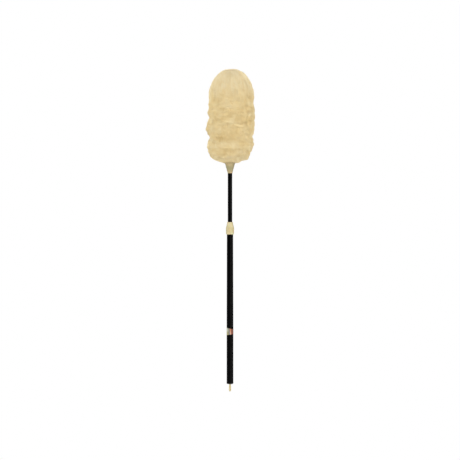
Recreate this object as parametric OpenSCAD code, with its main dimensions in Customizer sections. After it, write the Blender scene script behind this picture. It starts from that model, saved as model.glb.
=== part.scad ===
// Extending wool duster: a black handle tube, a sliding pole locked by a twist collar, and a
// wool head on a conical ferrule. Millimetres, +Z along the pole towards the head.
// The origin is the centre of the handle tube's lower end face.

/* [Handle] */
// Outer diameter of the handle tube along the grip
grip_d = 19; // [18.6:0.1:21]
// Outer diameter of the handle tube at its upper end
handle_top_d = 17.7; // [17.5:0.1:18]
// Length of the handle tube
handle_len = 432; // [380:1:520]
// Height at which the handle tube starts to taper
taper_start = 175; // [160:1:240]
// Height of the end cap's rim below the handle tube
cap_h = 6.9; // [6.5:0.1:9]

/* [Label] */
// Height of the label's middle above the handle tube's lower end
label_mid = 143.5; // [40:0.5:150]
// Height of the label along the handle
label_h = 20.5; // [14:0.5:30]

/* [Hanging loop] */
// Diameter of the cotton cord
cord_d = 3; // [2:0.1:3]
// Angle between the loop's plane and the front
loop_turn = 72; // [0:1:180]

/* [Lock] */
// Largest diameter of the twist collar
collar_d = 22.9; // [22.4:0.1:26]
// Length of the twist collar
collar_len = 35; // [33:0.5:42]
// Number of grip recesses round the collar
grip_count = 6; // [4:1:6]
// Rise of the collar in one full turn
thread_pitch = 3; // [2:0.5:3]

/* [Pole] */
// Outer diameter of the sliding pole
pole_d = 12.7; // [12.5:0.1:12.9]
// Wall of the sliding pole
pole_wall = 1.2; // [0.8:0.1:1.4]
// Length of the sliding pole
pole_len = 470; // [440:1:490]
// Length of pole that shows between the collar and the ferrule
pole_shown = 140; // [120:1:160]

/* [Head] */
// Largest diameter of the wool
wool_d = 137; // [110:1:170]
// Length of the wool
wool_len = 269; // [262:1:320]
// Visible height of the conical ferrule
ferrule_h = 28; // [24:1:34]
// Diameter of the ferrule's cone where it meets the wool
ferrule_top_d = 28.4; // [27:0.1:30]
// Outer diameter of the core tube inside the wool
core_d = 29; // [28.6:0.1:31]

/* [Hidden] */
$fn = 96;
eps = 0.01;

black = [0.05, 0.05, 0.055];
cream = [0.9, 0.87, 0.69];
natural = [0.86, 0.86, 0.83];
steel = [0.66, 0.67, 0.69];
wool_colour = [0.87, 0.79, 0.58];
hide = [0.82, 0.73, 0.56];
cotton = [0.79, 0.73, 0.54];

// Clearances, as a difference of radius
run_gap = 0.05;
slide_gap = 0.08;
free_gap = 0.3;

// Handle
grip_r = grip_d / 2;
handle_top_r = handle_top_d / 2;
bore_r = 7.4;

// End cap
cap_r = grip_r + 0.15;
cap_round = 3;
cap_floor = 3.9;
cap_plug_len = 16;
cap_plug_gap = 0.15;
cap_cavity_r = 5.4;
cap_hole_r = 3.3;
cap_rib_r = 0.6;
cap_rib_count = 6;

// Label
label_skin = 0.12;
label_top_tilt = 12;
label_foot_tilt = 8;

// Hanging loop: the cord's route in the loop's own plane, sideways and up
cord_r = cord_d / 2;
cord_sides = 8;
loop_half = [
    [-1.6, -3], [-1.6, -5], [-1.8, -7.5], [-2.6, -10.5], [-3.9, -13.5],
    [-5.2, -16.5], [-5.9, -20], [-5.2, -23.8], [-3, -26]
];
loop_foot = [0, -26.8];
knot_r = 4.7;
knot_h = 8;
knot_round = 2;

// Lock, from the handle tube's upper end
spigot_len = 24;
flange_h = 1.5;
base_top = handle_len + 11.5;
base_bore_r = 6.9;
thread_root_r = 8.1;
thread_crest_r = 8.6;
thread_first = handle_len + 3;
thread_rings = 3;
thread_crest_h = 0.8;
thread_flank_h = 0.5;
seat_foot = base_top - 6.5;
seat_top_r = 7.7;
pin_r = 1.2;
pin_z = handle_len - 5;
pin_in_r = 6.95;
pin_out_r = 8.7;
collet_flange_r = 7.9;
collet_top = base_top + 5.5;
collet_slits = 6;
slit_w = 0.8;
washer_h = 1;
washer_in_r = 6.6;

// Twist collar
collar_r = collar_d / 2;
skirt_drop = 11;
collar_foot = handle_len - skirt_drop;
collar_top = collar_foot + collar_len;
skirt_bore_r = handle_top_r + 0.35;
shoulder = collet_top + washer_h;
lip_bore_r = 6.65;
collar_foot_r = collar_r - 1.1;
collar_foot_h = 4;
neck_r = 9.1;
waist_r = 8.3;
lip_r = 8.55;
swell_top = handle_len + 7;
neck_z = shoulder + 0.3;
grip_w = 8.6;
grip_deep = 0.4;
grip_foot = collar_foot + 4.5;
grip_h = 15;
grip_turn = 8;

// Pole and its glide
pole_r = pole_d / 2;
pole_bore_r = pole_r - pole_wall;
ferrule_foot = collar_top + pole_shown;
socket_deep = 38;
pole_top = ferrule_foot + socket_deep;
pole_foot = pole_top - pole_len;
bush_r = bore_r - slide_gap;
bush_floor = 5.7;
bush_foot = pole_foot - 0.1 - bush_floor;
bush_top = bush_foot + 29;
bush_hole_r = 2.2;
bush_waist_r = 7.05;
bush_land = 6;
ring_r = 0.95;
ring_mid_r = bore_r - run_gap - ring_r;
ring_z = bush_foot + 3.1;
ring_groove_h = 2.1;
plug_len = 16;
screw_r = 1.4;
screw_len = 17;
screw_head_r = 3.4;
screw_head_h = 2.4;
screw_slot_w = 0.9;
screw_slot_deep = 1.2;
bush_washer_r = 4.6;
bush_washer_h = 0.7;
bush_washer_gap = 0.05;
bush_washer_foot = bush_foot - bush_washer_gap - bush_washer_h;

// Ferrule and core
ferrule_lip_r = 7.3;
ferrule_lip_h = 2;
ferrule_neck_r = 7.1;
ferrule_top_r = ferrule_top_d / 2;
cone_top = ferrule_foot + ferrule_h;
flange_r = ferrule_top_r + 1.4;
ferrule_flange_h = 3;
core_foot = cone_top + ferrule_flange_h;
core_r = core_d / 2;
core_bore_r = core_r - 2.3;
core_len = 241;
core_top = core_foot + core_len;
ferrule_spigot_len = 25;
ferrule_hollow_r = 9.5;
ferrule_hollow_foot = pole_top + 2;
ferrule_pin_z = ferrule_foot + 10;
ferrule_pin_half = 9.1;
core_screw_z = core_foot + 13;
core_screw_r = 1.3;
core_screw_in = 9.7;
core_screw_head_r = 2.5;
core_screw_head_h = 1.2;
core_screw_sunk = 0.1;
end_plug_len = 16;
end_plug_dome = 5;

// Pelt, stitching, staples and tie
pelt_gap = 0.2;
pelt_skin = 1.5;
pelt_in_r = core_r + pelt_gap;
pelt_r = pelt_in_r + pelt_skin;
pelt_foot = core_foot + 2;
pelt_dome = 6.5;
stitch_count = 20;
stitch_r = 0.35;
stitch_len = 5;
stitch_slant = 35;
stitch_foot = pelt_foot + 12;
stitch_top = core_top - 6;
staple_count = 4;
staple_r = 0.4;
staple_w = 8;
staple_deep = 3;
staple_z = pelt_foot + 9;
tie_r = 1.1;
tie_mid_r = pelt_r + tie_r;
tie_z = pelt_foot + 2.6;

// Wool: an outline with a rounded foot, a slightly fuller middle and a domed top
wool_r = wool_d / 2;
wool_foot = core_foot - 0.5;
wool_top = wool_foot + wool_len;
wool_wall = 6;
wool_neck_r = tie_mid_r + tie_r;
wool_foot_h = 63;
wool_dome_h = 80;
wool_foot_power = 2.6;
wool_dome_power = 2;
wool_dome_share = 0.95;
wool_steps = 16;

// Radius, from 1 at the height 0 to 0 at the height 1, of a rounded end
function round_end(t, power) = pow(max(1 - pow(t, power), 0), 1 / power);

// Quarter arc from (r, z) at its widest, rising or falling by h as it closes in by w
function quarter(r, z, w, h, steps = 8) =
    [for (i = [0 : steps]) [r - w + w * cos(90 * i / steps), z + h * sin(90 * i / steps)]];

// Outline of the wool from its neck to its crown, drawn in by inset
function wool_outline(inset) =
    let (
        r = wool_r - inset,
        foot = wool_foot + inset,
        low = wool_foot + wool_foot_h,
        high = wool_top - wool_dome_h,
        crown = wool_top - inset,
        dome_r = wool_r * wool_dome_share - inset,
        swell = [for (i = [1 : wool_steps - 1])
            let (t = i / wool_steps)
            [r + (dome_r - r) * pow(t, 2), low + (high - low) * t]],
        bottom = [for (i = [0 : wool_steps])
            let (t = cos(90 * i / wool_steps), out = r * round_end(t, wool_foot_power))
            if (out > wool_neck_r) [out, low - (low - foot) * t]],
        dome = [for (i = [0 : wool_steps])
            let (t = sin(90 * i / wool_steps))
            [dome_r * round_end(t, wool_dome_power), high + (crown - high) * t]]
    )
    concat([[wool_neck_r, foot]], bottom, swell, dome);

function reversed(list) = [for (i = [len(list) - 1 : -1 : 0]) list[i]];

// Cord route in space: down one side of the loop and up the other
loop_flat = concat(loop_half, [loop_foot], [for (p = reversed(loop_half)) [-p[0], p[1]]]);
loop_side = [cos(loop_turn), sin(loop_turn), 0];
loop_normal = [-sin(loop_turn), cos(loop_turn), 0];
loop_route = [for (p = loop_flat) p[0] * loop_side + [0, 0, p[1]]];

function heading(route, i) =
    let (d = route[min(i + 1, len(route) - 1)] - route[max(i - 1, 0)])
    i == 0 || i == len(route) - 1 ? [0, 0, i == 0 ? -1 : 1] : d / norm(d);

module ring(r_out, r_in, z, h) {
    translate([0, 0, z])
        difference() {
            cylinder(r = r_out, h = h);
            translate([0, 0, -eps]) cylinder(r = r_in, h = h + 2 * eps);
        }
}

// A round bar lying outwards from the axis, from radius r0 to radius r1
module spoke(r, r0, r1, z) {
    translate([r0, 0, z]) rotate([0, 90, 0]) cylinder(r = r, h = r1 - r0, $fn = 32);
}

module in_pairs() {
    for (turn = [0, 180]) rotate(turn) children();
}

// ---- handle ----

module outer_tube() {
    color(black)
        difference() {
            rotate_extrude()
                polygon([
                    [bore_r, 0], [grip_r, 0], [grip_r, taper_start],
                    [handle_top_r, handle_len], [bore_r, handle_len]
                ]);
            in_pairs() spoke(pin_r, bore_r - 1, grip_r + 1, pin_z);
        }
}

module end_cap() {
    rib_mid_r = bore_r - cap_rib_r;
    color(black) {
        rotate_extrude()
            polygon(concat(
                [[cap_hole_r, -cap_h]],
                reversed(quarter(cap_r, cap_round - cap_h, cap_round, -cap_round)),
                [
                    [cap_r, 0], [bore_r - cap_plug_gap, 0], [bore_r - cap_plug_gap, cap_plug_len],
                    [cap_cavity_r, cap_plug_len], [cap_cavity_r, cap_floor - cap_h],
                    [cap_hole_r, cap_floor - cap_h]
                ]
            ));
        for (i = [0 : cap_rib_count - 1])
            rotate(i * 360 / cap_rib_count)
                translate([rib_mid_r, 0, 0])
                    cylinder(r = cap_rib_r, h = cap_plug_len - cap_rib_r, $fn = 24);
    }
}

// A paper wrap with slanting edges, its narrow side to the right
module label() {
    foot = label_mid - label_h / 2;
    far = 2 * grip_d;
    color("silver")
        difference() {
            ring(grip_r + label_skin, grip_r, foot, label_h);
            translate([0, 0, foot + label_h - grip_r * tan(label_top_tilt)])
                rotate([0, label_top_tilt, 0])
                    translate([-far, -far, 0]) cube([2 * far, 2 * far, far]);
            translate([0, 0, foot + grip_r * tan(label_foot_tilt)])
                rotate([0, -label_foot_tilt, 0])
                    translate([-far, -far, -far]) cube([2 * far, 2 * far, far]);
        }
}

module hang_loop() {
    rings = len(loop_route);
    points = [
        for (i = [0 : rings - 1], k = [0 : cord_sides - 1])
            let (
                across = cross(heading(loop_route, i), loop_normal),
                turn = 360 * k / cord_sides
            )
            loop_route[i] + cord_r * (cos(turn) * loop_normal + sin(turn) * across)
    ];
    sides = [
        for (i = [0 : rings - 2], k = [0 : cord_sides - 1])
            let (next = (k + 1) % cord_sides)
            [
                i * cord_sides + k, i * cord_sides + next,
                (i + 1) * cord_sides + next, (i + 1) * cord_sides + k
            ]
    ];
    first = [for (k = [cord_sides - 1 : -1 : 0]) k];
    last = [for (k = [0 : cord_sides - 1]) (rings - 1) * cord_sides + k];
    color(cotton) polyhedron(points, concat([first], sides, [last]), convexity = 4);
}

// The knot that keeps the loop in the cap, where both ends of the cord meet
module loop_knot() {
    straight = knot_h - 2 * knot_round;
    color(cotton)
        translate([0, 0, cap_floor - cap_h])
            rotate_extrude()
                polygon(concat(
                    [[0, 0]],
                    reversed(quarter(knot_r, knot_round, knot_round, -knot_round)),
                    quarter(knot_r, knot_round + straight, knot_round, knot_round),
                    [[0, knot_h]]
                ));
}

// ---- twist lock ----

// Screwed insert: a spigot in the handle tube, a flange, a thread drawn as rings, a conical seat
module lock_base() {
    threads = [
        for (i = [0 : thread_rings - 1])
            let (
                z = thread_first + i * thread_pitch,
                crest = thread_crest_h / 2,
                root = crest + thread_flank_h
            )
            each [
                [thread_root_r, z - root], [thread_crest_r, z - crest],
                [thread_crest_r, z + crest], [thread_root_r, z + root]
            ]
    ];
    color(natural)
        difference() {
            rotate_extrude()
                polygon(concat(
                    [
                        [base_bore_r, handle_len - spigot_len], [bore_r, handle_len - spigot_len],
                        [bore_r, handle_len], [handle_top_r, handle_len],
                        [handle_top_r, handle_len + flange_h], [thread_root_r, handle_len + flange_h]
                    ],
                    threads,
                    [
                        [thread_root_r, base_top], [seat_top_r, base_top],
                        [base_bore_r, seat_foot]
                    ]
                ));
            in_pairs() spoke(pin_r, base_bore_r - 1, bore_r + 1, pin_z);
        }
}

module insert_pins() {
    color(steel) in_pairs() spoke(pin_r, pin_in_r, pin_out_r, pin_z);
}

// Split cone that the collar pushes down into the seat, so that it grips the pole
module lock_collet() {
    bore = pole_r + run_gap;
    slit_h = collet_top - seat_foot - 2;
    color(natural)
        difference() {
            rotate_extrude()
                polygon([
                    [bore, seat_foot], [base_bore_r, seat_foot], [seat_top_r, base_top],
                    [collet_flange_r, base_top], [collet_flange_r, collet_top], [bore, collet_top]
                ]);
            for (i = [0 : collet_slits - 1])
                rotate(i * 360 / collet_slits)
                    translate([bore - 1, -slit_w / 2, seat_foot - 1])
                        cube([collet_flange_r, slit_w, i == 0 ? collet_top : slit_h + 1]);
        }
}

module thrust_washer() {
    color(natural) ring(collet_flange_r, washer_in_r, collet_top, washer_h);
}

module lock_collar() {
    steps = 12;
    swell_h = neck_z - swell_top;
    shoulder_curve = [
        for (i = [0 : steps])
            [
                neck_r + (collar_r - neck_r) * (1 + cos(180 * i / steps)) / 2,
                swell_top + swell_h * i / steps
            ]
    ];
    foot_w = collar_r - collar_foot_r;
    thread_bore_r = thread_crest_r + 0.1;
    cavity_r = collet_flange_r + 0.25;
    skirt_top = handle_len + flange_h + 0.5;
    color(cream)
        difference() {
            rotate_extrude()
                polygon(concat(
                    [[skirt_bore_r, collar_foot]],
                    reversed(quarter(collar_r, collar_foot + collar_foot_h, foot_w, -collar_foot_h)),
                    shoulder_curve,
                    [
                        [waist_r, neck_z + 0.4], [waist_r, neck_z + 1], [lip_r, neck_z + 1.4],
                        [lip_r, collar_top - 0.6], [lip_r - 0.6, collar_top],
                        [lip_bore_r, collar_top], [lip_bore_r, shoulder], [cavity_r, shoulder],
                        [cavity_r, base_top + 0.4], [thread_bore_r, base_top + 0.4],
                        [thread_bore_r, skirt_top], [skirt_bore_r, skirt_top]
                    ]
                ));
            intersection() {
                ring(collar_r + 1, collar_r - grip_deep, grip_foot, grip_h);
                for (i = [0 : grip_count - 1])
                    rotate(grip_turn - 90 + i * 360 / grip_count)
                        translate([0, -grip_w / 2, grip_foot - 1])
                            cube([collar_r + 1, grip_w, grip_h + 2]);
            }
        }
}

// ---- glide at the pole's lower end ----

module glide_bush() {
    bore = pole_r + run_gap;
    groove_r = ring_mid_r - ring_r - run_gap;
    groove_foot = ring_z - ring_groove_h / 2;
    color(natural)
        rotate_extrude()
            polygon([
                [bush_hole_r, bush_foot], [bush_r, bush_foot],
                [bush_r, groove_foot], [groove_r, groove_foot],
                [groove_r, groove_foot + ring_groove_h], [bush_r, groove_foot + ring_groove_h],
                [bush_r, bush_foot + bush_floor + bush_land],
                [bush_waist_r, bush_foot + bush_floor + bush_land + 1],
                [bush_waist_r, bush_top - bush_land - 1], [bush_r, bush_top - bush_land],
                [bush_r, bush_top], [bore, bush_top], [bore, bush_foot + bush_floor],
                [bush_hole_r, bush_foot + bush_floor]
            ]);
}

module glide_ring() {
    color("dimgray")
        translate([0, 0, ring_z])
            rotate_extrude() translate([ring_mid_r, 0]) circle(r = ring_r, $fn = 32);
}

module inner_tube() {
    color(black)
        difference() {
            ring(pole_r, pole_bore_r, pole_foot, pole_len);
            in_pairs() spoke(pin_r, pole_bore_r - 1, pole_r + 1, ferrule_pin_z);
        }
}

// Plug in the pole's lower end, which the screw bites into
module tube_plug() {
    color(natural)
        translate([0, 0, pole_foot])
            difference() {
                cylinder(r = pole_bore_r, h = plug_len);
                translate([0, 0, -eps]) cylinder(r = screw_r, h = plug_len - 2, $fn = 32);
            }
}

module bush_screw() {
    head_top = bush_washer_foot;
    head_foot = head_top - screw_head_h;
    color(steel)
        difference() {
            union() {
                translate([0, 0, head_top]) cylinder(r = screw_r, h = screw_len, $fn = 32);
                rotate_extrude()
                    polygon(concat(
                        [[0, head_foot]],
                        reversed(quarter(screw_head_r, head_foot + 1.2, 1.6, -1.2)),
                        [[screw_head_r, head_top], [0, head_top]]
                    ));
            }
            for (turn = [0, 90])
                rotate(turn)
                    translate([-screw_head_r / 2, -screw_slot_w / 2, head_foot - 1])
                        cube([screw_head_r, screw_slot_w, screw_slot_deep + 1]);
        }
}

module bush_washer() {
    color(steel) ring(bush_washer_r, screw_r, bush_washer_foot, bush_washer_h);
}

// ---- head ----

module ferrule() {
    color(cream)
        difference() {
            rotate_extrude()
                polygon(concat(
                    [[pole_r, ferrule_foot]],
                    reversed(quarter(ferrule_lip_r, ferrule_foot + 0.6, 0.6, -0.6, 4)),
                    [
                        [ferrule_lip_r, ferrule_foot + ferrule_lip_h - 0.5],
                        [ferrule_neck_r, ferrule_foot + ferrule_lip_h],
                        [ferrule_top_r, cone_top], [flange_r, cone_top], [flange_r, core_foot],
                        [core_bore_r, core_foot], [core_bore_r, core_foot + ferrule_spigot_len],
                        [ferrule_hollow_r, core_foot + ferrule_spigot_len],
                        [ferrule_hollow_r, ferrule_hollow_foot], [0, ferrule_hollow_foot],
                        [0, pole_top], [pole_r, pole_top]
                    ]
                ));
            in_pairs() {
                spoke(pin_r, pole_r - 1, flange_r, ferrule_pin_z);
                rotate(90) spoke(core_screw_r, ferrule_hollow_r - 1, core_r, core_screw_z);
            }
        }
}

module ferrule_pin() {
    color(steel) spoke(pin_r, -ferrule_pin_half, ferrule_pin_half, ferrule_pin_z);
}

// Countersunk screw lying outwards from the core's axis
module core_screw(head_out) {
    head_in = head_out - core_screw_head_h;
    spoke(core_screw_r, core_screw_in, head_in + eps, core_screw_z);
    translate([head_in, 0, core_screw_z])
        rotate([0, 90, 0])
            cylinder(r1 = core_screw_r, r2 = core_screw_head_r, h = core_screw_head_h, $fn = 32);
}

module head_core() {
    color(natural)
        difference() {
            ring(core_r, core_bore_r, core_foot, core_len);
            in_pairs()
                rotate(90) {
                    core_screw(core_r - core_screw_sunk);
                    spoke(core_screw_head_r, core_r - core_screw_sunk - eps, core_r + 1, core_screw_z);
                }
        }
}

module core_screws() {
    color(steel) in_pairs() rotate(90) core_screw(core_r - core_screw_sunk);
}

module core_end_plug() {
    color(natural)
        rotate_extrude()
            polygon(concat(
                [[0, core_top - end_plug_len], [core_bore_r, core_top - end_plug_len],
                    [core_bore_r, core_top]],
                quarter(core_r, core_top, core_r, end_plug_dome)
            ));
}

// Hide backing of the wool: a sleeve sewn shut over the core's end
module pelt_sleeve() {
    color(hide)
        rotate_extrude()
            polygon(concat(
                [[pelt_in_r, pelt_foot], [pelt_r, pelt_foot]],
                quarter(pelt_r, core_top, pelt_r, pelt_dome + pelt_skin),
                reversed(quarter(pelt_in_r, core_top, pelt_in_r, pelt_dome))
            ));
}

// Slanting stitches that close the sleeve down its back
module pelt_seam() {
    rise = (stitch_top - stitch_foot) / (stitch_count - 1);
    color(cotton)
        for (i = [0 : stitch_count - 1])
            translate([0, pelt_r + stitch_r, stitch_foot + i * rise])
                rotate([0, 90 - stitch_slant, 0])
                    cylinder(r = stitch_r, h = stitch_len, center = true, $fn = 16);
}

module pelt_staples() {
    crown_r = pelt_r + staple_r;
    color(steel)
        for (i = [0 : staple_count - 1])
            rotate(45 + i * 360 / staple_count) {
                translate([crown_r, 0, staple_z - staple_w / 2])
                    cylinder(r = staple_r, h = staple_w, $fn = 16);
                for (side = [-1, 1])
                    spoke(
                        staple_r, crown_r - staple_deep, crown_r,
                        staple_z + side * (staple_w / 2 - staple_r)
                    );
            }
}

module neck_tie() {
    color(cotton)
        translate([0, 0, tie_z])
            rotate_extrude() translate([tie_mid_r, 0]) circle(r = tie_r, $fn = 32);
}

module wool_pile() {
    color(wool_colour)
        rotate_extrude() polygon(concat(wool_outline(0), reversed(wool_outline(wool_wall))));
}

outer_tube();
end_cap();
label();
hang_loop();
loop_knot();
lock_base();
insert_pins();
lock_collet();
thrust_washer();
lock_collar();
glide_bush();
glide_ring();
inner_tube();
tube_plug();
bush_screw();
bush_washer();
ferrule();
ferrule_pin();
head_core();
core_screws();
core_end_plug();
pelt_sleeve();
pelt_seam();
pelt_staples();
neck_tie();
wool_pile();
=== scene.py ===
"""Looks of the extending wool duster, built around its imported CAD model.

Metres, +Z along the pole towards the head, the front towards -Y. Angles round the pole are
measured from +X towards +Y, so the front is at -90 degrees.
"""

import math

import bpy
import numpy as np
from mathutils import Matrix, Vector


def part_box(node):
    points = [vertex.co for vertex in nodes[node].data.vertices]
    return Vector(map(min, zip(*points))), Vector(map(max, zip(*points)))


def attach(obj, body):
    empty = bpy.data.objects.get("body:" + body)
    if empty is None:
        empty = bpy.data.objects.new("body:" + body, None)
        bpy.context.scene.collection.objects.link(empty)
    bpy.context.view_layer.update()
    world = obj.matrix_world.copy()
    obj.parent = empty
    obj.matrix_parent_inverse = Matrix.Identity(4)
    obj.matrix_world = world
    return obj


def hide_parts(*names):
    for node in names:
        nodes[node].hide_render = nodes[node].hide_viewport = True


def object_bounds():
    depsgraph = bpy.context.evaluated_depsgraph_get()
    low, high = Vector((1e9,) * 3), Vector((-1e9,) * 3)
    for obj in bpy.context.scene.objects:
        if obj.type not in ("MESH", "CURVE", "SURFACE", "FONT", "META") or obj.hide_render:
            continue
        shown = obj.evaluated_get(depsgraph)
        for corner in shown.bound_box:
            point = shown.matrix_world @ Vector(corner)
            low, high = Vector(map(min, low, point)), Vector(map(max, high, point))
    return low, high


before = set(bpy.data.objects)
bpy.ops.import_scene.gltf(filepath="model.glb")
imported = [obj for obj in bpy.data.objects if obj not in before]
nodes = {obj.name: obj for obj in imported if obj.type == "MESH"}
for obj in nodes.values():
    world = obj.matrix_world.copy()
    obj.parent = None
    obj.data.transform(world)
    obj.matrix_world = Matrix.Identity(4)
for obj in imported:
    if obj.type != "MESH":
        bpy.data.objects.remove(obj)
cad_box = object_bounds()

MM = 0.001
SHORTEST = 1e-9    # a vector shorter than this has no direction
FULL_TURN = 2 * math.pi
UPWARD = np.array((0, 0, 1.0))
scene = bpy.context.scene


def seeded(seed):
    """A random source of its own for each use, so that one edit doesn't change the rest."""
    return np.random.default_rng(seed)


def smooth_step(values, low, high):
    t = np.clip((values - low) / (high - low), 0, 1)
    return t * t * (3 - 2 * t)


def unit(vectors):
    return vectors / np.maximum(np.linalg.norm(vectors, axis=-1, keepdims=True), SHORTEST)


def wave_noise(points, size, seed, count=28):
    """Smooth noise of spread 1 at the points, with lumps about size across."""
    draw = seeded(seed)
    directions = unit(draw.normal(size=(count, 3)))
    lengths = size * draw.uniform(0.7, 1.6, (count, 1))
    phases = draw.uniform(0, FULL_TURN, count)
    angles = points @ (directions * FULL_TURN / lengths).T + phases
    return np.sin(angles).sum(axis=-1) * math.sqrt(2 / count)


# ---- camera, light and floor ----

def paint(red, green, blue):
    """A shader's colour from screen values of 0 to 255."""
    def linear(value):
        share = value / 255
        return share / 12.92 if share <= 0.04045 else ((share + 0.055) / 1.055) ** 2.4

    return (linear(red), linear(green), linear(blue), 1)


def grey(value):
    return (value, value, value, 1)


def aim(thing, target):
    thing.rotation_euler = (Vector(target) - thing.location).to_track_quat("-Z", "Y").to_euler()


box_height = cad_box[1].z - cad_box[0].z
look_at = Vector((0, 0, (cad_box[0].z + cad_box[1].z) / 2))


def make_camera():
    """A level camera far in front, whose square view is a little under one and a half heights."""
    distance = 6.0
    view_height = 1.4245 * box_height
    data = bpy.data.cameras.new("camera")
    data.sensor_width = 36
    data.lens = data.sensor_width * distance / view_height
    data.clip_end = 50
    camera = bpy.data.objects.new("camera", data)
    camera.location = look_at + Vector((0, -distance, 0))
    aim(camera, look_at)
    scene.collection.objects.link(camera)
    scene.camera = camera


def soft_box(name, turn, rise, distance, size, power, colour, in_reflections=True):
    """An area light aimed at the middle. Turn is to the right of the camera and rise above it."""
    data = bpy.data.lights.new(name, "AREA")
    data.shape = "RECTANGLE"
    data.size, data.size_y = size
    data.energy = power
    data.color = colour
    light = bpy.data.objects.new(name, data)
    turn, rise = math.radians(turn), math.radians(rise)
    way = Vector((math.sin(turn) * math.cos(rise), -math.cos(turn) * math.cos(rise), math.sin(rise)))
    light.location = look_at + way * distance
    light.visible_glossy = in_reflections
    aim(light, look_at)
    scene.collection.objects.link(light)


AMBIENT_LIGHT = 0.95
REFLECTED_LIGHT = 0.08


def make_world():
    """A white backdrop for the camera, an even light, and a dimmer one in reflections."""
    world = bpy.data.worlds.new("studio")
    scene.world = world
    world.use_nodes = True
    tree = world.node_tree
    tree.nodes.clear()
    output = tree.nodes.new("ShaderNodeOutputWorld")
    mix = tree.nodes.new("ShaderNodeMixShader")
    path = tree.nodes.new("ShaderNodeLightPath")
    ambient = tree.nodes.new("ShaderNodeBackground")
    backdrop = tree.nodes.new("ShaderNodeBackground")
    for background in (ambient, backdrop):
        background.inputs["Color"].default_value = (1, 1, 1, 1)
    dimmed = tree.nodes.new("ShaderNodeMapRange")
    dimmed.inputs["To Min"].default_value = AMBIENT_LIGHT
    dimmed.inputs["To Max"].default_value = REFLECTED_LIGHT
    tree.links.new(path.outputs["Is Glossy Ray"], dimmed.inputs["Value"])
    tree.links.new(dimmed.outputs["Result"], ambient.inputs["Strength"])
    tree.links.new(path.outputs["Is Camera Ray"], mix.inputs[0])
    tree.links.new(ambient.outputs[0], mix.inputs[1])
    tree.links.new(backdrop.outputs[0], mix.inputs[2])
    tree.links.new(mix.outputs[0], output.inputs["Surface"])


def make_floor():
    """A pale round floor below the hanging duster."""
    radius, drop, sides = 4.0, 0.75, 128
    turns = [FULL_TURN * i / sides for i in range(sides)]
    rim = [(radius * math.cos(t), radius * math.sin(t), -drop) for t in turns]
    mesh = bpy.data.meshes.new("floor")
    mesh.from_pydata(rim, [], [range(sides)])
    floor = bpy.data.objects.new("floor", mesh)
    scene.collection.objects.link(floor)
    return floor


make_camera()
make_world()
scene.view_settings.view_transform = "Standard"
soft_box("key_light", -16, 20, 2.8, (2.4, 2.4), 28, (0.99, 1.0, 0.97), in_reflections=False)
soft_box("side_light", 38, 2, 2.6, (0.35, 1.8), 10, (1.0, 0.95, 0.88))


# ---- materials ----

class Finish:
    """A material whose nodes are added and joined with short calls."""

    def __init__(self, name, **fixed):
        self.material = bpy.data.materials.new(name)
        self.material.use_nodes = True
        self.tree = self.material.node_tree
        self.shader = self.tree.nodes["Principled BSDF"]
        self.place = self.add("ShaderNodeTexCoord").outputs["Object"]
        for socket, value in fixed.items():
            self.shader.inputs[socket.replace("_", " ")].default_value = value

    def add(self, kind):
        return self.tree.nodes.new(kind)

    def plug(self, value, socket):
        """Joins an output to a socket, or sets the socket to a plain value."""
        if isinstance(value, bpy.types.NodeSocket):
            self.tree.links.new(value, socket)
        else:
            socket.default_value = value

    def attribute(self, name):
        node = self.add("ShaderNodeAttribute")
        node.attribute_name = name
        return node

    def stretched(self, where, scale):
        node = self.add("ShaderNodeMapping")
        node.inputs["Scale"].default_value = scale
        self.plug(where, node.inputs["Vector"])
        return node.outputs["Vector"]

    def noise(self, scale, detail, where=None, roughness=0.55):
        """Noise with the given number of lumps in a metre along each axis."""
        node = self.add("ShaderNodeTexNoise")
        self.plug(self.stretched(where or self.place, scale), node.inputs["Vector"])
        node.inputs["Scale"].default_value = 1
        node.inputs["Detail"].default_value = detail
        node.inputs["Roughness"].default_value = roughness
        return node.outputs["Fac"]

    def ramp(self, value, stops):
        node = self.add("ShaderNodeValToRGB")
        points = node.color_ramp.elements
        while len(points) < len(stops):
            points.new(0.5)
        for point, (position, colour) in zip(points, stops):
            point.position = position
            point.color = colour
        self.plug(value, node.inputs["Fac"])
        return node.outputs["Color"]

    def mix(self, share, first, second):
        """Two colours mixed, from the first at a share of 0 to the second at 1."""
        node = self.add("ShaderNodeMix")
        node.data_type = "RGBA"
        self.plug(share, node.inputs["Factor"])
        self.plug(first, node.inputs[6])
        self.plug(second, node.inputs[7])
        return node.outputs[2]

    def reckon(self, operation, first, second):
        node = self.add("ShaderNodeMath")
        node.operation = operation
        self.plug(first, node.inputs[0])
        self.plug(second, node.inputs[1])
        return node.outputs[0]

    def sum(self, first, second):
        return self.reckon("ADD", first, second)

    def product(self, first, second):
        return self.reckon("MULTIPLY", first, second)

    def spread(self, value, low, high, from_low=0.3, from_high=0.7):
        """A value carried from one range to another. Noise mostly lies from 0.3 to 0.7."""
        node = self.add("ShaderNodeMapRange")
        self.plug(value, node.inputs["Value"])
        node.inputs["From Min"].default_value = from_low
        node.inputs["From Max"].default_value = from_high
        node.inputs["To Min"].default_value = low
        node.inputs["To Max"].default_value = high
        return node.outputs["Result"]

    def colour(self, value):
        self.plug(value, self.shader.inputs["Base Color"])

    def rough(self, value, low, high):
        self.plug(self.spread(value, low, high), self.shader.inputs["Roughness"])

    def bump(self, height, distance, strength):
        node = self.add("ShaderNodeBump")
        node.inputs["Distance"].default_value = distance
        node.inputs["Strength"].default_value = strength
        self.plug(height, node.inputs["Height"])
        self.plug(node.outputs["Normal"], self.shader.inputs["Normal"])

    def across_and_up(self):
        """Places to the right and upwards, in metres."""
        node = self.add("ShaderNodeSeparateXYZ")
        self.plug(self.place, node.inputs["Vector"])
        return node.outputs["X"], node.outputs["Z"]


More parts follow.
